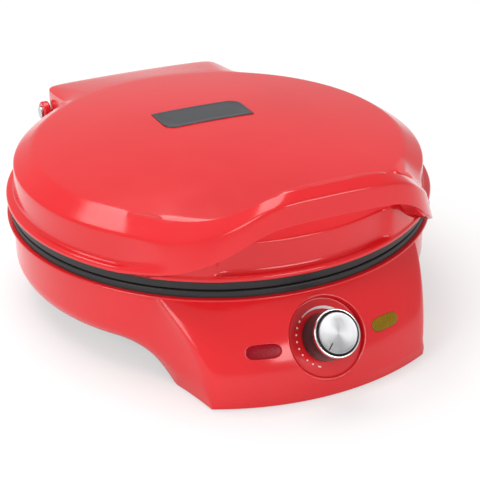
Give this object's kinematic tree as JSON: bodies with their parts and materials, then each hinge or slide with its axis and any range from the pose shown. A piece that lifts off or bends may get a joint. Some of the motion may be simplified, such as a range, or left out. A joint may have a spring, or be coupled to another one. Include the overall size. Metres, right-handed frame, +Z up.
{
  "type": "electric pizza maker",
  "caption": "Countertop electric pizza maker: round hinged lid with a bow handle over a lower baking plate, front control block with thermostat knob and indicator windows.",
  "frame": {"origin": "on the table under the middle of the overall box", "axes": "+Z up, front with the handle and the knob towards -Y, hinge towards +Y, right-hand side seen from the front towards +X"},
  "size_m": [0.3368, 0.41, 0.1677],
  "materials": {
    "red_plastic": "gloss",
    "black_plastic": "satin",
    "coated_aluminium": "non-stick coating",
    "aluminium_sheet": "bright",
    "steel": "plain",
    "white_ceramic": "matt",
    "rubber": "matt",
    "badge": "satin",
    "ruby_lens": "clear",
    "amber_lens": "clear",
    "chrome": "polished",
    "brushed_aluminium": "circular brushed"
  },
  "bodies": {
    "base": {"base_bottom_cover": "black_plastic", "base_housing": "red_plastic", "control_box_cover": "black_plastic", "control_screw_left": "steel", "control_screw_right": "steel", "cord_inlet_bush": "black_plastic", "cover_screw_1": "steel", "cover_screw_2": "steel", "cover_screw_3": "steel", "cover_screw_4": "steel", "front_foot_left": "rubber", "front_foot_right": "rubber", "hinge_pin_left": "steel", "hinge_pin_right": "steel", "lower_element": "steel", "lower_plate": "coated_aluminium", "lower_reflector": "aluminium_sheet", "lower_reflector_nut": "steel", "lower_thermal_fuse": "white_ceramic", "power_lamp": "white_ceramic", "power_lens": "ruby_lens", "ready_lamp": "white_ceramic", "ready_lens": "amber_lens", "rear_foot_left": "rubber", "rear_foot_right": "rubber", "terminal_block": "white_ceramic", "thermostat_body": "white_ceramic", "thermostat_bracket": "steel", "thermostat_bulb": "steel", "thermostat_capillary": "steel"},
    "lid": {"badge_plate": "badge", "handle_grip_cover": "red_plastic", "handle_screw_left": "steel", "handle_screw_right": "steel", "lid_shell": "red_plastic", "upper_element": "steel", "upper_plate": "coated_aluminium", "upper_reflector": "aluminium_sheet", "upper_reflector_nut": "steel", "upper_thermal_fuse": "white_ceramic"},
    "knob": {"knob_body": "black_plastic", "knob_ring": "chrome", "knob_cap": "brushed_aluminium", "thermostat_spindle": "steel"}
  },
  "joints": [
    {"name": "lid_hinge", "type": "hinge", "parent": "base", "child": "lid", "pos_m": [0, 0.196, 0.089], "axis": [-1, 0, 0], "range_deg": [0, 105]},
    {"name": "knob_turn", "type": "hinge", "parent": "base", "child": "knob", "pos_m": [0, -0.1774, 0.042], "axis": [0, -0.809, 0.5878], "range_deg": [-270, 0]}
  ]
}
